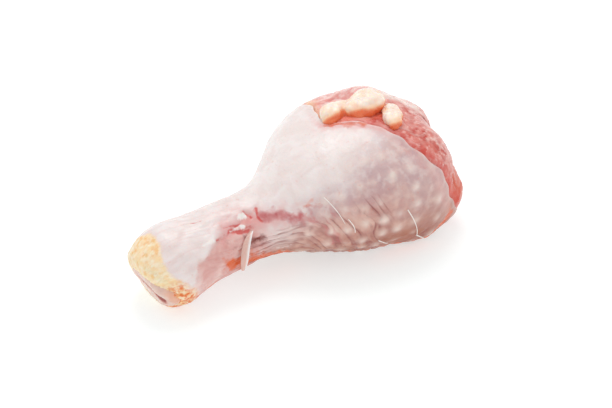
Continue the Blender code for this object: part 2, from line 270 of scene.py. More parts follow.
def ray_surface(form, spine, shares, angles, inset=0.0, longest=70.0, steps=24):
    """Where rays from the spine come to the inset under the form's surface."""
    lean = np.sign(shares) * np.abs(shares) ** 4 * math.pi / 2.0
    directions = np.stack(
        [np.sin(lean), np.cos(lean) * np.cos(angles), np.cos(lean) * np.sin(angles)], axis=-1
    )
    origins = spine(shares)
    inner = np.zeros(shares.shape)
    outer = np.full(shares.shape, longest)
    for _ in range(steps):
        middle = (inner + outer) / 2.0
        inside = form(origins + directions * middle[..., None]) < -inset
        inner = np.where(inside, middle, inner)
        outer = np.where(inside, outer, middle)
    return origins + directions * inner[..., None]


def outward(form, points):
    """Unit normals of a form at points."""
    step = 0.05
    slopes = []
    for axis in range(3):
        shift = np.zeros(3)
        shift[axis] = step
        slopes.append(form(points + shift) - form(points - shift))
    normals = np.stack(slopes, axis=-1)
    return normals / np.maximum(np.linalg.norm(normals, axis=-1, keepdims=True), 1e-9)


def ring(columns):
    """Angles round the leg, in radians."""
    return np.linspace(0.0, 2.0 * math.pi, columns, endpoint=False)


def knee_rim(angles):
    """Where the skin's edge at the knee lies, for each angle round the leg."""
    degrees = np.degrees(angles) % 360.0
    rim = 0.54 + 0.19 * np.cos(np.radians(degrees - 222.0))
    away = degrees - 85.0
    width = np.where(away < 0.0, 24.0, 10.0)
    wavy = 0.008 * np.sin(9.0 * angles + 1.0) + 0.005 * np.sin(23.0 * angles)
    return rim - 0.15 * np.exp(-((away / width) ** 2)) + wavy


def hock_rim(angles):
    """Where the skin's edge at the hock lies: where the leg's surface leaves the window."""
    inner = np.full(angles.shape, -1.0)
    outer = np.full(angles.shape, -0.6)
    for _ in range(18):
        middle = (inner + outer) / 2.0
        inside = hock_window(ray_surface(leg_form, leg_spine, middle, angles)) < 0.0
        inner = np.where(inside, middle, inner)
        outer = np.where(inside, outer, middle)
    return inner


# --- Relief and colour fields -------------------------------------------------------------------


def step_up(values, low, high):
    """0 below low, 1 above high, and a smooth rise between."""
    share = np.clip((values - low) / (high - low), 0.0, 1.0)
    return share * share * (3.0 - 2.0 * share)


def hump(values, centre, width):
    """A bell of height 1 at centre."""
    return np.exp(-(((values - centre) / width) ** 2))


def lattice_random(cells, seed):
    """A repeatable random number from 0 to 1 for each whole-number cell."""
    x, y, z = (cells[..., axis].astype(np.int64) for axis in range(3))
    mixed = (x * 73856093) ^ (y * 19349663) ^ (z * 83492791) ^ (seed * 39916801 + 12345)
    mixed = (mixed ^ (mixed >> 13)) * 1274126177
    mixed = mixed ^ (mixed >> 16)
    return (mixed & 0xFFFFFF) / float(0x1000000)


def noise(points, size, seed=0):
    """Smooth noise from -1 to 1 with features about size across: one number or three."""
    scaled = points / np.array(size, dtype=float)
    base = np.floor(scaled)
    part = scaled - base
    ease = part**3 * (part * (part * 6.0 - 15.0) + 10.0)
    total = np.zeros(points.shape[:-1])
    for corner in np.ndindex(2, 2, 2):
        weight = np.prod(np.where(np.array(corner) == 1, ease, 1.0 - ease), axis=-1)
        total += weight * lattice_random(base + np.array(corner), seed)
    return total * 2.0 - 1.0


def rough(points, size, octaves=3, seed=0):
    """Noise with finer and weaker noise added, from about -1 to 1."""
    size = np.array(size, dtype=float)
    total = np.zeros(points.shape[:-1])
    for octave in range(octaves):
        total += noise(points, size / 2.0**octave, seed + octave) * 0.55**octave
    return total / 1.5


def ridges(points, size, seed=0):
    """Winding crests from 0 to 1, with flat ground between."""
    coarse = 1.0 - np.abs(noise(points, size, seed))
    fine = 1.0 - np.abs(noise(points, np.array(size, dtype=float) / 1.9, seed + 7))
    return 0.65 * coarse**4 + 0.35 * fine**4


def creases(x, down, heading, length, width, seed):
    """Narrow lines on the skin that run along heading, in degrees down from +X."""
    cosine, sine = math.cos(math.radians(heading)), math.sin(math.radians(heading))
    along = x * cosine + down * sine
    across = down * cosine - x * sine
    across = across + 0.9 * noise(np.stack([along, across, x * 0.0], axis=-1), 5.0, seed + 3)
    return ridges(np.stack([along, across, x * 0.0], axis=-1), (length, width, 1.0), seed)


def path_distance(points, path):
    """Distance from points to a path of straight pieces."""
    nearest = np.full(points.shape[:-1], 1e9)
    for start, end in zip(path[:-1], path[1:]):
        start = np.array(start)
        along = np.array(end) - start
        share = np.clip(((points - start) @ along) / (along @ along), 0.0, 1.0)
        away = np.linalg.norm(points - start - share[..., None] * along, axis=-1)
        nearest = np.minimum(nearest, away)
    return nearest


def painted(points, marks, seed):
    """How strongly marks of (path, width, strength) show at points, with ragged edges."""
    ragged = 1.0 + 0.5 * noise(points, 1.6, seed) + 0.35 * noise(points, 4.0, seed + 1)
    wobble = np.stack([noise(points, 3.0, seed + axis) for axis in (20, 30, 40)], axis=-1)
    points = points + 0.9 * wobble
    total = np.zeros(points.shape[:-1])
    for path, width, strength in marks:
        share = strength * np.exp(-((path_distance(points, path) / (width * ragged)) ** 2))
        total = np.maximum(total, share)
    return total


def pebbles(points, size, seed=0):
    """(distance to the nearest centre, to the next one, the nearest one's random number)."""
    scaled = points / size
    base = np.floor(scaled)
    first = np.full(points.shape[:-1], 9.0)
    second = np.full(points.shape[:-1], 9.0)
    label = np.zeros(points.shape[:-1])
    for offset in np.ndindex(3, 3, 3):
        cell = base + np.array(offset) - 1.0
        shift = np.stack([lattice_random(cell, seed + axis) for axis in range(3)], axis=-1)
        away = np.linalg.norm(scaled - cell - 0.1 - 0.8 * shift, axis=-1)
        closer = away < first
        second = np.where(closer, first, np.minimum(second, away))
        label = np.where(closer, lattice_random(cell, seed + 5), label)
        first = np.minimum(first, away)
    return first * size, second * size, label


def pore_centres():
    """Feather pores in staggered rows over the leg, as points, with a random number for each."""
    centres = []
    for row, share in enumerate(np.arange(-0.42, 0.72, PORE_SPACING * 0.82 / SPINE_HALF_LENGTH)):
        columns = max(12, int(round(190.0 * (0.72 + 0.28 * min(1.0, share + 0.5)) / PORE_SPACING)))
        turn = (row % 2) * 0.5
        for column in range(columns):
            key = np.array([row, column, 3.0])
            wobble = [lattice_random(key, seed) - 0.5 for seed in (11, 12, 13)]
            angle = (column + turn + 0.35 * wobble[0]) / columns * 2.0 * math.pi
            centres.append((share + 0.03 * wobble[1], angle, wobble[2] + 0.5))
    centres = np.array(centres)
    points = ray_surface(leg_form, leg_spine, centres[:, 0], centres[:, 1])
    return points, centres[:, 2]


def nearest_pore(points):
    """(distance to the nearest pore, that pore's random number) for each point."""
    centres, labels = pore_centres()
    tree = KDTree(len(centres))
    for index, centre in enumerate(centres):
        tree.insert(centre, index)
    tree.balance()
    flat = points.reshape(-1, 3)
    found = [tree.find(point) for point in flat]
    distance = np.array([item[2] for item in found])
    label = labels[np.array([item[1] for item in found])]
    return distance.reshape(points.shape[:-1]), label.reshape(points.shape[:-1])


def fold_distance(shares, angles, points):
    """(signed distance past the ankle's fold, towards the table; how much of it is here)."""
    degrees = np.degrees(angles)
    line = np.interp(shares, FOLD_SHARES, FOLD_ANGLES)
    line = line + 4.0 * noise(points * np.array([1.0, 0.0, 0.0]), 4.0, seed=31)
    radius = np.linalg.norm((points - leg_spine(shares))[..., 1:], axis=-1)
    across = np.radians(degrees - line) * radius
    present = step_up(shares, -0.84, -0.78) * (1.0 - step_up(shares, -0.25, -0.12))
    return across, present


def skin_fields(shares, angles, points):
    """(height in millimetres, masks from 0 to 1) over the skin."""
    degrees = np.degrees(angles)
    x, y, z = (points[..., axis] for axis in range(3))
    down = np.radians(degrees) * LEG_RADIUS
    soft = rough(points, 9.0, 2, seed=3)
    far = np.clip(step_up(degrees, 318.0, 345.0) + 1.0 - step_up(degrees, 8.0, 40.0), 0.0, 1.0)
    below = step_up(degrees, 158.0, 205.0) * (1.0 - step_up(degrees, 320.0, 345.0))
    edge = np.interp(x, THIN_SKIN_X, THIN_SKIN_ANGLES) + 9.0 * soft
    thin = step_up(degrees, edge - 18.0, edge + 20.0) * (1.0 - far) + far * 0.7
    calf = step_up(x, -24.0, -8.0)
    shank = 1.0 - step_up(x, -34.0, -20.0)

    across, present = fold_distance(shares, angles, points)
    ankle = step_up(shares, -0.86, -0.80) * (1.0 - step_up(shares, -0.50, -0.40))
    groove = present * hump(across, 0.3, 0.9) * (0.35 + 0.5 * noise(points, 4.0, seed=32))
    lip = ankle * hump(across, -2.2, 2.0)
    sunk = present * step_up(across, -1.0, 2.0) * np.exp(-np.maximum(across, 0.0) / 10.0)
    side = step_up(across, -1.6, 1.6) * (1.0 - far) * (1.0 - step_up(x, -30.0, -18.0))
    side = side * step_up(x, -57.0, -50.0)

    red = painted(points, RED_STREAKS, 211)
    white = painted(points, WHITE_SCRAPS, 212)
    dark = painted(points, SHADED_HOLLOWS, 213)
    purple = painted(points, PURPLE_BANDS, 214)
    orange = painted(points, ORANGE_TISSUE_AND_SHADE, 215)
    blush = painted(points, BLUSHES_AND_SHADE, 216)

    pore_far, pore_label = nearest_pore(points)
    pore_here = calf * (0.10 + 0.90 * thin) * (0.35 + 0.65 * pore_label)
    pore_width = PORE_RADIUS * (0.8 + 0.5 * pore_label)
    pore = np.exp(-((pore_far / pore_width) ** 2)) * pore_here

    diagonal = creases(x, down, 57.0, 14.0, 1.9, 51) * step_up(x, -15.0, -6.0) * 1.25
    diagonal = diagonal * (1.0 - step_up(x, 8.0, 20.0)) * step_up(degrees, 148.0, 166.0)
    level = creases(x, down, 8.0, 9.0, 2.3, 61) * step_up(x, -44.0, -30.0)
    level = level * (1.0 - step_up(x, -14.0, -6.0)) * step_up(degrees, 146.0, 162.0)
    belly = creases(x, down, -12.0, 8.0, 2.6, 71) * step_up(x, -6.0, 8.0)
    belly = belly * step_up(degrees, 186.0, 206.0)
    lines = np.clip(diagonal + level + belly, 0.0, 1.0)
    lines = lines * (1.0 - step_up(degrees, 300.0, 330.0)) * (1.0 - 0.6 * pore)
    streaks = creases(x, down, 4.0, 12.0, 1.5, 81) * thin * calf
    ankle_lines = creases(x, down, 14.0, 9.0, 2.6, 86) * (shank * 0.5 + side * 0.5)

    low = np.clip(20.0 - z, 0.0, 11.0)
    cap_edge = -61.7 + 0.78 * low + 2.0 * step_up(z, 22.0, 26.5)
    cap_edge = cap_edge + 1.1 * rough(points, 3.0, 2, seed=83)
    fade = 0.5 + 0.14 * low
    yellow = 1.0 - step_up(x, cap_edge - fade, cap_edge + fade)
    scale_near, scale_next, scale_label = pebbles(points, 1.15, seed=91)
    scales = np.clip((scale_next - scale_near) / 0.6, 0.0, 1.0) * yellow

    height = 0.40 * soft + 0.14 * rough(points, 3.5, 2, seed=5)
    height = height * (0.35 + 0.65 * np.clip(thin + below + shank, 0.0, 1.0))
    height += shank * 0.35 * rough(points, (7.0, 4.0, 4.0), 2, seed=6)
    height += -0.8 * groove + 0.35 * lip - 0.35 * sunk
    height += PORE_HEIGHT * pore - 0.46 * lines - 0.09 * streaks - 0.22 * ankle_lines
    height += 0.16 * rough(points, (3.0, 1.4, 1.4), 2, seed=7) * hump(x, -32.0, 16.0) * (1.0 - far)
    height += -0.35 * red + 0.25 * white - 0.5 * dark - 0.30 * purple - 0.3 * orange
    height += 0.20 * scales - 0.12 * yellow

    span = knee_rim(angles) - shares
    ruffled = hump(degrees, 98.0, 24.0) + 0.7 * hump(degrees, 165.0, 22.0)
    ruffle_place = np.stack([span * SPINE_HALF_LENGTH, down * 0.25, x * 0.0], axis=-1)
    ruffle = ridges(ruffle_place, (2.0, 3.0, 1.0), seed=95) * ruffled
    ruffle = ruffle * (1.0 - step_up(span, 0.05, 0.14))
    height += 0.32 * ruffle
    height = height * (0.35 + 0.65 * step_up(span, 0.0, 0.03)) + 0.1 * hump(span, 0.0, 0.01)

    flank = step_up(degrees, 142.0, 172.0) * (1.0 - 0.75 * step_up(x, 8.0, 30.0))
    # Underside along the table: browner skin, darkened further as painted shade.
    keel_top = np.interp(x, (-10.0, 8.0, 40.0), (204.0, 186.0, 182.0)) + 8.0 * soft
    masks = {
        "thin": thin * calf,
        "warm": calf * flank * (1.0 - far),
        "below": below * step_up(x, -38.0, -24.0),
        "keel_tone_and_shade": step_up(degrees, keel_top, keel_top + 16.0)
        * (1.0 - step_up(degrees, 250.0, 300.0)) * calf * (1.0 - 0.7 * step_up(x, 26.0, 38.0)),
        "side": side,
        "red": np.maximum(red, 0.5 * groove * ankle),
        "white": white,
        "dark": dark,
        "purple": purple,
        "orange": orange,
        "blush": blush,
        "pore": pore * (1.0 - 0.35 * below),
        "lines": np.clip(lines, 0.0, 1.0),
        "streaks": streaks,
        "ankle_lines": ankle_lines,
        "yellow": yellow,
        "scale": scales,
        "scale_tone": scale_label,
        "rim": hump(span, 0.0, 0.008),
        "rim_blush": hump(span, 0.035, 0.03) * (0.4 + 0.6 * ruffled),
        "rust": yellow * step_up(degrees, 150.0, 178.0) * (1.0 - step_up(degrees, 250.0, 280.0)),
    }
    return height, masks


def meat_fields(shares, angles, points):
    """(height in millimetres, masks from 0 to 1) over the meat beyond the skin's edge."""
    degrees = np.degrees(angles)
    x, y, z = (points[..., axis] for axis in range(3))
    span = shares - knee_rim(angles)
    bare = step_up(span, 0.0, 0.03)
    wobble = np.stack([noise(points, 7.0, seed) for seed in (101, 102, 103)], axis=-1)
    warped = points + 3.0 * wobble
    near, following, label = pebbles(warped * np.array([0.7, 1.0, 0.8]), 11.0, seed=111)
    seam = (1.0 - step_up(following - near, 0.2, 1.6)) * (0.5 + 0.5 * noise(points, 8.0, seed=112))
    lobes = rough(points, 8.0, 3, seed=121)
    film = ridges(warped, (8.0, 4.0, 4.0), seed=131)
    fibre = noise(points, (5.0, 0.7, 0.9), seed=141)
    membrane = np.exp(-((path_distance(points, PALE_MEMBRANE) / 2.6) ** 2))
    strip = np.exp(-((path_distance(points, FAR_RIM_FAT) / 3.0) ** 2))
    marks = np.exp(-((path_distance(points, DARK_RED_MARKS) / 1.2) ** 2))
    marks = marks * step_up(noise(points, 2.0, seed=151), -0.4, 0.2)
    fat_shadow = np.exp(-((path_distance(points, FAT_SHADOW) / 2.4) ** 2))
    height = bare * (0.50 * lobes - 0.45 * seam + 0.15 * film + 0.10 * fibre)
    height += bare * (0.3 * membrane + 0.5 * strip - 0.3 * marks)
    masks = {
        "seam": np.clip(seam, 0.0, 1.0),
        "film": film,
        "fibre": 0.5 + 0.5 * fibre,
        "lobe": label,
        "low": (1.0 - step_up(z + 0.35 * (48.0 - x) + 5.0 * lobes, 24.0, 35.0))
        * (1.0 - 0.75 * step_up(y, -9.0, 6.0)),
        "fat_shadow": fat_shadow,
        "top": step_up(y - 0.2 * (x - 30.0), -4.0, 8.0) * step_up(z, 34.0, 40.0),
        "edge": hump(span, 0.02, 0.03),
        "membrane": membrane,
        "strip": strip,
        "marks": marks,
    }
    return height, masks


# --- Meshes -------------------------------------------------------------------------------------


def grid_faces(rows, columns):
    """Quads of an open tube, facing out."""
    index = np.arange(rows * columns).reshape(rows, columns)
    beside = np.roll(index, -1, axis=1)
    quads = np.stack([index[:-1], beside[:-1], beside[1:], index[1:]], axis=-1)
    return quads.reshape(-1, 4).tolist()


def cap_faces(rows, columns, first, last):
    """Fans of triangles from a first and a last point to the grid's end rows."""
    faces = []
    end = (rows - 1) * columns
    for column in range(columns):
        beside = (column + 1) % columns
        faces.append((first, beside, column))
        faces.append((last, end + column, end + beside))
    return faces


def close_ends(points, masks, first, last):
    """Points, faces and masks of a tube whose ends close in a tip; the tips' masks are given."""
    rows, columns = points.shape[:2]
    tips = rows * columns
    faces = grid_faces(rows, columns) + cap_faces(rows, columns, tips, tips + 1)
    every = [points.reshape(-1, 3), points[:1].mean(axis=1), points[-1:].mean(axis=1)]
    flat = {}
    for name, values in masks.items():
        end = values[-1].mean() if last is None else last
        flat[name] = np.append(values.reshape(-1), [first, end])
    return np.concatenate(every), faces, flat


def add_piece(name, points, faces, masks, look, node):
    """A smooth mesh from points in the leg's millimetres, which stands for a CAD node."""
    mesh = bpy.data.meshes.new(name)
    mesh.from_pydata(((points - LEG_CENTRE) * MM).tolist(), [], faces)
    mesh.materials.append(look)
    mesh.shade_smooth()
    for mask, values in masks.items():
        layer = mesh.attributes.new(mask, "FLOAT", "POINT")
        layer.data.foreach_set("value", np.ascontiguousarray(values, dtype=np.float32))
    piece = bpy.data.objects.new(name, mesh)
    bpy.context.scene.collection.objects.link(piece)
    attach(piece, "root")
    if node:
        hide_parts(node)
    return piece


def rolled_edge(points, normals, row, before):
    """Rows that roll the skin's edge inwards, from the surface to its underside."""
    end = points[row]
    tangent = end - points[before]
    tangent /= np.maximum(np.linalg.norm(tangent, axis=-1, keepdims=True), 1e-9)
    radius = SKIN_EDGE_THICKNESS / 2.0
    centre = end - normals[row] * radius
    rows = []
    for turn in np.linspace(0.0, math.pi, 7)[1:]:
        rows.append(centre + radius * (normals[row] * math.cos(turn) + tangent * math.sin(turn)))
    for back in (1.2, 3.5):
        rows.append(rows[5] - tangent * back - normals[row] * 0.05 * back)
    return np.array(rows)


def make_skin(look):
    """The skin from the hock's window to the knee, with both edges rolled in."""
    rows, columns = (270, 335)
    angles = np.broadcast_to(ring(columns), (rows, columns))
    along = np.linspace(0.0, 1.0, rows)[:, None]
    hock_edge = hock_rim(ring(columns))
    shares = hock_edge * (1.0 - along) + knee_rim(ring(columns)) * along
    points = ray_surface(leg_form, leg_spine, shares, angles)
    normals = outward(leg_form, points)
    height, masks = skin_fields(shares, angles, points)
    points = points + normals * height[..., None]
    points[..., 2] = np.maximum(points[..., 2], FLOOR_GAP)
    knee_edge = rolled_edge(points, normals, -1, -4)
    hock_lip = rolled_edge(points, normals, 0, 3)
    all_rows = np.concatenate([hock_lip[::-1], points, knee_edge])
    lead = len(hock_lip)
    padded = {}
    for name, values in masks.items():
        first, last = (np.repeat(end, lead, axis=0) for end in (values[:1], values[-1:]))
        padded[name] = np.concatenate([first, values, last])
    all_rows[..., 2] = np.maximum(all_rows[..., 2], FLOOR_GAP)
    faces = grid_faces(len(all_rows), columns)
    flat = {name: values.reshape(-1) for name, values in padded.items()}
    return add_piece("skin_surface", all_rows.reshape(-1, 3), faces, flat, look, "skin")


def make_meat(look):
    """The meat: close under the skin, and level with it where it is bare."""
    columns = 260
    edge = knee_rim(ring(columns))
    hidden = np.linspace(-0.98, -0.06, 14)[:, None]
    shown = np.linspace(-0.05, 1.0, 150)[:, None]
    covered = edge - 0.06 + (hidden + 0.06) / 0.92 * (edge + 0.9)
    bare = np.where(shown < 0.0, edge + shown, edge + (1.0 - edge) * shown**0.92 * 0.999)
    shares = np.concatenate([covered, bare])
    angles = np.broadcast_to(ring(columns), shares.shape)
    span = shares - edge
    inset = 1.5 - 0.72 * step_up(span, -0.09, -0.03) - 0.63 * step_up(span, 0.0, 0.035)

    def form(points):
        return keep_both(leg_form(points), -53.0 - points[..., 0], blend=3.0)

    points = ray_surface(form, leg_spine, shares, angles, inset)
    normals = outward(form, points)
    height, masks = meat_fields(shares, angles, points)
    points = points + normals * height[..., None]
    points[..., 2] = np.maximum(points[..., 2], FLOOR_GAP)
    every, faces, flat = close_ends(points, masks, 0.0, None)
    return add_piece("meat_surface", every, faces, flat, look, "meat")


def make_bone(look):
    """The cut face in the skin's window, with its slit, and the condyles at the knee."""
    columns = 160
    rim = hock_rim(ring(columns))
    rows = np.linspace(0.02, 1.0, 60)[:, None]
    shares = -1.0 + rows * (rim + 0.035 + 1.0)
    angles = np.broadcast_to(ring(columns), shares.shape)
    inset = 0.05 + 1.5 * step_up(shares - rim, -0.012, 0.03)
    cap = ray_surface(leg_form, leg_spine, shares, angles, inset)
    normals = outward(leg_form, cap)
    y, z = cap[..., 1], cap[..., 2]
    wobble = 1.0 + 0.35 * noise(cap, 2.0, seed=201)
    slit = np.exp(-((path_distance(cap, CUT_SLIT) / (1.5 * wobble)) ** 2))
    height = 0.35 * rough(cap, 3.0, 2, seed=202) - 0.55 * slit + 0.4 * hump(z, 12.5, 2.0)
    cap = cap + normals * height[..., None]
    spot = hump(y, 9.0, 2.6) * hump(z, 9.5, 4.0)
    near_corner = step_up(-y, 7.5, 10.0)

    knee_rows = np.linspace(-0.55, 0.995, 70)[:, None]
    knee_shares, knee_angles = np.broadcast_arrays(knee_rows, ring(columns))
    knee = ray_surface(knee_bone_form, leg_spine, knee_shares, knee_angles)
    knee_normals = outward(knee_bone_form, knee)
    proud = leg_form(knee)
    relief = 0.12 * rough(knee, 4.0, 2, seed=203) - 1.3 * hump(knee[..., 1], 2.5, 1.8)
    relief = relief * step_up(knee[..., 0], 44.0, 50.0)
    knee = knee + knee_normals * relief[..., None]
    torn = 1.0 - step_up(proud + 0.5 * noise(knee, 2.5, seed=204), 0.0, 1.1)

    zero = np.zeros(knee.shape[:-1])
    masks = {
        "slit": np.concatenate([slit, zero]),
        "spot": np.concatenate([spot, zero]),
        "corner": np.concatenate([near_corner, zero]),
        "torn": np.concatenate([np.zeros(cap.shape[:-1]), torn]),
    }
    every, faces, flat = close_ends(np.concatenate([cap, knee]), masks, 0.0, 0.0)
    return add_piece("cut_bone_and_cartilage", every, faces, flat, look, "shin_bone")


def make_fat(name, form, spine, grain, look, node):
    """A lump of fat round its own spine; grain is how rough its surface is."""
    rows, columns = (90, 110)
    shares = np.broadcast_to(np.linspace(-0.985, 0.985, rows)[:, None], (rows, columns))
    angles = np.broadcast_to(ring(columns), (rows, columns))
    points = ray_surface(form, spine, shares, angles, longest=30.0)
    normals = outward(form, points)
    height = rough(points, 4.2, 2, seed=301) + grain * rough(points, 1.7, 2, seed=302)
    height += 0.25 - 0.45 * ridges(points, (5.0, 3.5, 4.0), seed=305)
    points = points + normals * height[..., None]
    above = leg_form(points)
    masks = {
        # low: where painted shade falls on the fat, close to the meat and facing down and towards the
        # near side.
        "low": (1.0 - step_up(above, 1.4, 4.0))
        * step_up(-normals[..., 1] - 0.6 * normals[..., 2], -0.7, 0.3),
        "blush": 0.5 + 0.5 * rough(points, 3.0, 2, seed=303),
    }
    every, faces, flat = close_ends(points, masks, 0.5, 0.5)
    return add_piece(name, every, faces, flat, look, node)


def ribbon(path, widths, thickness, across, columns=10):
    """A closed strip of oval section along a path: points and faces."""
    path = np.array(path)
    rows = len(path)
    tangent = np.gradient(path, axis=0)
    tangent /= np.linalg.norm(tangent, axis=-1, keepdims=True)
    side = np.cross(tangent, np.cross(np.array(across), tangent))
    side /= np.linalg.norm(side, axis=-1, keepdims=True)
    face = np.cross(tangent, side)
    turns = ring(columns)[None, :, None]
    widths = np.array(widths)[:, None, None]
    points = path[:, None, :] + side[:, None, :] * np.cos(turns) * widths / 2.0
    points = points + face[:, None, :] * np.sin(turns) * thickness / 2.0
    every = np.concatenate([points.reshape(-1, 3), path[:1], path[-1:]])
    faces = grid_faces(rows, columns) + cap_faces(rows, columns, rows * columns, rows * columns + 1)
    return every, faces


def curve_through(start, middle, end, count):
    """Points of a smooth curve that passes near middle."""
    share = np.linspace(0.0, 1.0, count)[:, None]
    start, middle, end = (np.array(point, dtype=float) for point in (start, middle, end))
    return (1.0 - share) ** 2 * start + 2.0 * share * (1.0 - share) * middle + share**2 * end


def make_tendon(look):
    """The strip that hangs from the dark hollow at the ankle, clear of the table."""
    columns = 14
    start = curve_through((-28.6, -7.2, 21.8), (-32.0, -9.6, 21.2), (-33.7, -10.9, 17.4), 20)
    end = curve_through((-33.7, -10.9, 17.4), (-34.9, -12.0, 14.2), (-34.6, -10.8, 10.2), 21)[1:]
    path = np.concatenate([start, end])
    share = np.linspace(0.0, 1.0, len(path))
    widths = 1.0 + 1.7 * np.sin(math.pi * np.clip(share * 0.85 + 0.02, 0.0, 1.0)) ** 0.8
    widths = widths * (1.0 - 0.25 * step_up(share, 0.85, 1.0))
    every, faces = ribbon(path, widths, 0.36, (0.9, -0.3, 0.25), columns)
    down = np.concatenate([np.repeat(share, columns), [0.0, 1.0]])
    side = np.concatenate([np.tile(0.5 + 0.5 * np.cos(ring(columns)), len(path)), [0.5, 0.5]])
    masks = {"down": down, "side": side}
    return add_piece("tendon_strip", every, faces, masks, look, "tendon")


def make_filament(name, share, degrees, reach, turn, look):
    """A hair of down that lies on the skin from a point on the leg; reach and turn in steps."""
    steps = 24
    part = np.linspace(0.0, 1.0, steps)
    shares = share + reach[0] / SPINE_HALF_LENGTH * part + 0.01 * np.sin(part * turn)
    angles = np.radians(degrees) + reach[1] / LEG_RADIUS * part
    points = ray_surface(leg_form, leg_spine, shares, angles)
    points = points + outward(leg_form, points) * (0.55 + 0.5 * np.sin(part * math.pi))[:, None]
    widths = 0.30 * (1.0 - part) ** 0.6 + 0.12
    every, faces = ribbon(points, widths, 0.3, (0.0, 0.0, 1.0), columns=6)
    return add_piece(name, every, faces, {}, look, None)


# --- Materials ----------------------------------------------------------------------------------


def tone(red, green, blue):
    """A colour from 0 to 255 per channel as the linear one that shaders take."""
    shares = np.array([red, green, blue]) / 255.0
    linear = np.where(shares <= 0.04045, shares / 12.92, ((shares + 0.055) / 1.055) ** 2.4)
    return (*linear.tolist(), 1.0)


class Look:
    """A material and short ways to add nodes to it."""

    def __init__(self, name, roughness, coat, scatter, radius):
        self.material = bpy.data.materials.new(name)
        self.material.use_nodes = True
        self.tree = self.material.node_tree
        self.shader = self.tree.nodes["Principled BSDF"]
        self.shader.inputs["Roughness"].default_value = roughness
        self.shader.inputs["Coat Weight"].default_value = coat
        self.shader.inputs["Coat Roughness"].default_value = 0.16
        self.shader.inputs["IOR"].default_value = 1.38
        self.shader.inputs["Subsurface Weight"].default_value = scatter
        self.shader.inputs["Subsurface Radius"].default_value = radius
        self.shader.inputs["Subsurface Scale"].default_value = MM
        self.place = self.add("ShaderNodeTexCoord").outputs["Object"]

    def add(self, kind, inputs=None, **settings):
        node = self.tree.nodes.new(kind)
        for name, value in settings.items():
            setattr(node, name, value)
        for name, value in (inputs or {}).items():
            self.put(node.inputs[name], value)
        return node

    def put(self, socket, value):
        if isinstance(value, bpy.types.NodeSocket):
            self.tree.links.new(value, socket)
        else:
            socket.default_value = value

    def mask(self, name):
        return self.add("ShaderNodeAttribute", attribute_name=name).outputs["Fac"]

    def speckle(self, size, detail=2.0, distortion=0.0, squash=None):
        """Noise whose features are about size millimetres across."""
        place = self.place
        if squash:
            mapping = self.add("ShaderNodeMapping", {"Vector": place, "Scale": squash})
            place = mapping.outputs["Vector"]
        made = self.add(
            "ShaderNodeTexNoise",
            {
                "Vector": place,
                "Scale": 1.0 / (size * MM),
                "Detail": detail,
                "Distortion": distortion,
            },
        )
        return made.outputs["Fac"]

    def steps(self, value, *stops):
        """A value turned into another through stops of (in, out)."""
        node = self.add("ShaderNodeValToRGB", {"Fac": value})
        ramp = node.color_ramp
        while len(ramp.elements) < len(stops):
            ramp.elements.new(0.5)
        for element, (position, level) in zip(ramp.elements, stops):
            element.position = position
            element.color = (level, level, level, 1.0)
        return node.outputs["Color"]

    def torn(self, name, noise, low, high):
        """A mask whose soft edge is broken up by noise."""
        ragged = self.calculate("MULTIPLY_ADD", noise, 0.9, self.mask(name))
        return self.steps(self.calculate("SUBTRACT", ragged, 0.45), (low, 0.0), (high, 1.0))

    def times(self, a, b):
        return self.calculate("MULTIPLY", a, b)

    def calculate(self, operation, a, b, c=0.0):
        node = self.add("ShaderNodeMath", {0: a, 1: b, 2: c}, operation=operation)
        return node.outputs[0]

    def mixed(self, share, a, b, mode="MIX"):
        node = self.add("ShaderNodeMix", {0: share, 6: a, 7: b}, data_type="RGBA", blend_type=mode)
        return node.outputs[2]

    def tint(self, colour, name, share, shade):
        """A colour with some share of a shade where a mask is 1."""
        return self.mixed(self.times(self.mask(name), share), colour, shade)

    def bump(self, height, strength, depth, normal=None):
        inputs = {"Height": height, "Strength": strength, "Distance": depth * MM}
        node = self.add("ShaderNodeBump", inputs)
        if normal:
            self.put(node.inputs["Normal"], normal)
        return node.outputs["Normal"]

    def finish(self, colour, normal=None, roughness=None):
        self.put(self.shader.inputs["Base Color"], colour)
        if normal:
            self.put(self.shader.inputs["Normal"], normal)
            self.put(self.shader.inputs["Coat Normal"], normal)
        if roughness:
            self.put(self.shader.inputs["Roughness"], roughness)
        return self.material


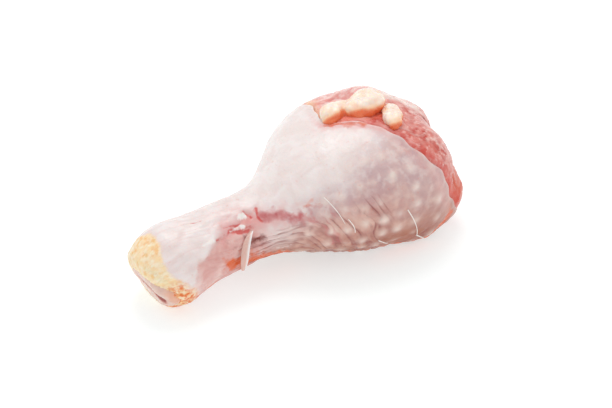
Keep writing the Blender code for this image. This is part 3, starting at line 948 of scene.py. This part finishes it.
def skin_look():
    look = Look("raw_skin", 0.30, 0.15, 0.18, (1.8, 0.8, 0.6))
    mottle = look.speckle(6.0, 3.0, 0.6)
    patchy = look.steps(mottle, (0.38, 0.0), (0.62, 1.0))
    fine = look.speckle(1.1, 3.0)
    colour = look.mixed(patchy, tone(241, 231, 229), tone(235, 221, 218))
    thin = look.mixed(patchy, tone(202, 172, 174), tone(214, 182, 178))
    cloudy = look.steps(look.speckle(3.0, 2.0, 0.2), (0.46, 0.0), (0.66, 0.6))
    thin = look.mixed(cloudy, thin, tone(234, 218, 214))
    colour = look.mixed(look.mask("thin"), colour, thin)
    warm = look.mixed(patchy, tone(204, 146, 132), tone(220, 176, 160))
    colour = look.tint(colour, "warm", 0.8, warm)
    tan = look.mixed(patchy, tone(174, 112, 90), tone(200, 146, 126))
    colour = look.tint(colour, "below", 0.95, tan)
    # Brown-orange underside, partly the skin's own tone and partly painted shade.
    keel_tone_and_shade = look.times(look.mask("keel_tone_and_shade"), look.steps(mottle, (0.35, 0.5), (0.6, 0.9)))
    colour = look.mixed(keel_tone_and_shade, colour, tone(162, 84, 50))
    side = look.mixed(patchy, tone(216, 148, 140), tone(234, 192, 184))
    colour = look.tint(colour, "side", 0.85, side)
    thread = look.times(look.steps(look.mask("lines"), (0.15, 0.0), (0.8, 0.85)), 0.9)
    colour = look.mixed(thread, colour, tone(150, 72, 66))
    colour = look.tint(colour, "ankle_lines", 0.45, tone(214, 142, 136))
    colour = look.tint(colour, "streaks", 0.25, tone(178, 132, 134))
    colour = look.tint(colour, "pore", 0.82, tone(243, 227, 217))
    # Pink blush by the ankle's fold, and pink painted shade on the skin under the fat fold.
    colour = look.tint(colour, "blush", 0.8, tone(226, 150, 148))
    band = look.torn("purple", look.speckle(2.0, 3.0, 0.4), 0.2, 0.95)
    colour = look.mixed(band, colour, tone(198, 104, 106))
    # Orange tissue, and orange-red painted shade on the skin under the fat fold.
    amber_and_shade = look.torn("orange", look.speckle(1.8, 3.0), 0.12, 0.65)
    colour = look.mixed(amber_and_shade, colour, tone(222, 100, 48))
    colour = look.tint(colour, "rim_blush", 0.4, tone(222, 156, 154))
    colour = look.tint(colour, "rim", 0.3, tone(238, 220, 216))
    streak = look.torn("red", fine, 0.3, 0.75)
    colour = look.mixed(look.times(streak, 0.8), colour, tone(212, 68, 62))
    colour = look.mixed(look.torn("white", fine, 0.3, 0.7), colour, tone(248, 240, 236))
    # Red-brown tissue and painted shade in the tendon's hollow, and the tendon's painted shadow.
    colour = look.mixed(look.torn("dark", fine, 0.2, 0.95), colour, tone(124, 34, 14))
    scale = look.mixed(look.mask("scale_tone"), tone(253, 220, 170), tone(254, 238, 212))
    gap = look.steps(look.mask("scale"), (0.0, 0.3), (0.4, 0.0))
    scale = look.mixed(gap, scale, tone(242, 196, 146))
    ochre = look.steps(look.speckle(2.2, 2.0), (0.52, 0.0), (0.66, 0.6))
    scale = look.mixed(ochre, scale, tone(246, 184, 104))
    colour = look.mixed(look.mask("yellow"), colour, scale)
    flecks = look.steps(look.speckle(1.6, 2.0), (0.42, 0.1), (0.58, 1.0))
    rust = look.times(look.mask("rust"), flecks)
    colour = look.mixed(rust, colour, tone(232, 116, 50))
    normal = look.bump(look.speckle(0.9, 3.0), 0.45, 0.25)
    normal = look.bump(look.speckle(2.6, 2.0, 0.5), 0.4, 0.5, normal)
    return look.finish(colour, normal, look.steps(mottle, (0.3, 0.28), (0.7, 0.42)))


def meat_look():
    look = Look("raw_meat", 0.26, 0.2, 0.2, (2.2, 0.7, 0.5))
    mottle = look.speckle(5.0, 4.0, 0.8)
    fine = look.speckle(0.8, 3.0)
    colour = look.mixed(look.mask("lobe"), tone(196, 76, 64), tone(212, 102, 86))
    colour = look.mixed(look.steps(mottle, (0.38, 0.0), (0.66, 0.85)), colour, tone(244, 184, 174))
    # Pale flecks on the meat, partly painted glints of its wet surface.
    flecks_and_glints = look.steps(look.speckle(1.5, 2.0), (0.56, 0.0), (0.66, 0.6))
    colour = look.mixed(flecks_and_glints, colour, tone(250, 214, 204))
    top = look.mixed(mottle, tone(248, 200, 192), tone(252, 228, 222))
    patches = look.steps(look.speckle(4.0, 2.0, 0.5), (0.42, 1.0), (0.56, 0.0))
    top = look.mixed(look.times(patches, 0.6), top, tone(228, 110, 104))
    colour = look.tint(colour, "top", 0.85, top)
    colour = look.tint(colour, "fibre", 0.22, tone(200, 92, 86))
    film = look.steps(look.mask("film"), (0.4, 0.0), (0.85, 0.6))
    colour = look.mixed(film, colour, tone(246, 224, 216))
    colour = look.tint(colour, "seam", 0.6, tone(196, 84, 76))
    rusty = look.mixed(mottle, tone(200, 56, 16), tone(220, 88, 38))
    rusty = look.mixed(look.times(film, 0.35), rusty, tone(236, 150, 112))
    colour = look.tint(colour, "low", 0.95, rusty)
    colour = look.tint(colour, "edge", 0.45, tone(212, 66, 60))
    colour = look.tint(colour, "strip", 0.9, tone(252, 206, 168))
    colour = look.tint(colour, "membrane", 0.8, tone(250, 236, 228))
    colour = look.tint(colour, "fat_shadow", 0.8, tone(224, 96, 62))
    colour = look.mixed(look.mask("marks"), colour, tone(140, 26, 20))
    normal = look.bump(fine, 0.4, 0.25)
    normal = look.bump(look.speckle(2.2, 2.0), 0.3, 0.5, normal)
    return look.finish(colour, normal, look.steps(mottle, (0.3, 0.22), (0.7, 0.4)))


def fat_look():
    look = Look("raw_fat", 0.24, 0.3, 0.3, (3.0, 1.8, 0.9))
    mottle = look.speckle(3.0, 3.0, 0.4)
    colour = look.mixed(mottle, tone(254, 226, 206), tone(255, 242, 232))
    blush = look.steps(look.mask("blush"), (0.4, 0.0), (0.75, 0.6))
    colour = look.mixed(blush, colour, tone(255, 204, 172))
    # Painted shade: peach, then orange-red at the lowest, on the fat's lower side by the meat.
    peach_shade = look.steps(look.mask("low"), (0.1, 0.0), (0.7, 0.85))
    colour = look.mixed(peach_shade, colour, tone(252, 190, 144))
    amber_and_shade = look.steps(look.mask("low"), (0.6, 0.0), (1.0, 0.9))
    colour = look.mixed(amber_and_shade, colour, tone(236, 106, 56))
    normal = look.bump(look.speckle(0.9, 3.0), 0.3, 0.2)
    normal = look.bump(look.speckle(2.4, 2.0), 0.3, 0.5, normal)
    return look.finish(colour, normal, look.steps(mottle, (0.3, 0.2), (0.7, 0.34)))


def bone_look():
    look = Look("cut_cartilage", 0.24, 0.2, 0.2, (1.8, 1.2, 1.0))
    mottle = look.speckle(2.5, 3.0, 0.4)
    colour = look.mixed(mottle, tone(214, 172, 158), tone(238, 212, 200))
    colour = look.tint(colour, "torn", 0.85, tone(206, 104, 96))
    colour = look.tint(colour, "corner", 0.6, tone(236, 156, 112))
    colour = look.mixed(look.mask("spot"), colour, tone(232, 104, 58))
    rim = look.steps(look.mask("slit"), (0.05, 0.0), (0.3, 0.7))
    colour = look.mixed(rim, colour, tone(214, 132, 116))
    slit = look.steps(look.mask("slit"), (0.2, 0.0), (0.6, 1.0))
    colour = look.mixed(slit, colour, tone(154, 52, 36))
    normal = look.bump(look.speckle(0.8, 3.0), 0.3, 0.2)
    return look.finish(colour, normal)


def tendon_look():
    look = Look("tendon_strip", 0.24, 0.3, 0.3, (2.0, 1.2, 1.0))
    strands = look.speckle(0.9, 2.0, 0.0, (2.0, 2.0, 0.2))
    colour = look.mixed(strands, tone(212, 164, 152), tone(232, 200, 190))
    colour = look.tint(colour, "down", 0.3, tone(226, 176, 162))
    pale_edge = look.steps(look.mask("side"), (0.6, 0.0), (0.95, 1.0))
    colour = look.mixed(pale_edge, colour, tone(254, 250, 248))
    return look.finish(colour, look.bump(strands, 0.4, 0.2))


def filament_look():
    look = Look("down_filament", 0.35, 0.2, 0.2, (1.0, 0.8, 0.7))
    shade = look.speckle(1.5, 2.0)
    return look.finish(look.mixed(shade, tone(240, 228, 220), tone(252, 246, 240)))


def floor_look():
    look = Look("white_surface", 0.65, 0.0, 0.0, (1.0, 1.0, 1.0))
    grain = look.speckle(30.0, 2.0)
    look.shader.inputs["Emission Color"].default_value = (0.92, 1.0, 1.0, 1.0)
    look.shader.inputs["Emission Strength"].default_value = 0.55
    return look.finish(look.mixed(grain, (0.56, 0.56, 0.56, 1.0), (0.58, 0.58, 0.58, 1.0)))


# --- Stage --------------------------------------------------------------------------------------


def direction(azimuth, elevation):
    """The way from the object to a place at that azimuth and elevation."""
    turn, rise = math.radians(azimuth), math.radians(elevation)
    return Vector(
        (math.sin(turn) * math.cos(rise), -math.cos(turn) * math.cos(rise), math.sin(rise))
    )


def add_camera():
    camera = bpy.data.cameras.new("camera")
    camera.lens = CAMERA_LENS
    camera.sensor_width = 36.0
    camera.clip_start = 0.01
    obj = bpy.data.objects.new("camera", camera)
    bpy.context.scene.collection.objects.link(obj)
    back = direction(CAMERA_AZIMUTH, CAMERA_ELEVATION)
    target = Vector((np.array(CAMERA_TARGET) - LEG_CENTRE).tolist())
    obj.location = (target + back * CAMERA_DISTANCE) * MM
    obj.rotation_euler = back.to_track_quat("Z", "Y").to_euler()
    bpy.context.scene.camera = obj


def add_light(name, azimuth, elevation, distance, size, power, colour):
    light = bpy.data.lights.new(name, "AREA")
    light.shape = "DISK"
    light.size = size
    light.energy = power
    light.color = colour
    obj = bpy.data.objects.new(name, light)
    bpy.context.scene.collection.objects.link(obj)
    away = direction(azimuth, elevation)
    obj.location = away * distance
    obj.rotation_euler = away.to_track_quat("Z", "Y").to_euler()


def add_stage():
    mesh = bpy.data.meshes.new("white_surface")
    reach = 3.0
    signs = ((-1, -1), (1, -1), (1, 1), (-1, 1))
    corners = [(x * reach, y * reach, 0.0) for x, y in signs]
    mesh.from_pydata(corners, [], [(0, 1, 2, 3)])
    mesh.materials.append(floor_look())
    floor = bpy.data.objects.new("white_surface", mesh)
    bpy.context.scene.collection.objects.link(floor)
    world = bpy.data.worlds.new("studio")
    world.use_nodes = True
    sky = world.node_tree.nodes["Background"]
    sky.inputs["Color"].default_value = (1.0, 1.0, 1.0, 1.0)
    sky.inputs["Strength"].default_value = 0.82
    bpy.context.scene.world = world
    add_light("overhead", 150.0, 66.0, distance=0.9, size=0.5, power=2.2, colour=(1.0, 0.99, 0.97))
    bpy.context.scene.view_settings.view_transform = "Standard"


def main():
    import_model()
    add_camera()
    add_stage()

    make_skin(skin_look())
    make_meat(meat_look())
    make_bone(bone_look())
    fat = fat_look()
    fold_line = straight_spine((14.0, 6.8, 44.5), (29.0, 6.0, 45.0))
    tab_line = straight_spine((30.2, -5.2, 43.4), (31.8, -5.2, 43.4))
    make_fat("fat_fold_lobes", fat_fold_form, fold_line, 0.15, fat, "fat_fold")
    make_fat("fat_tab_lobe", fat_tab_form, tab_line, 0.6, fat, "fat_tab")
    make_tendon(tendon_look())
    down = filament_look()
    for number, (share, degrees, reach, turn) in enumerate(DOWN_HAIRS, start=1):
        make_filament(f"down_{number}", share, degrees, reach, turn, down)


main()
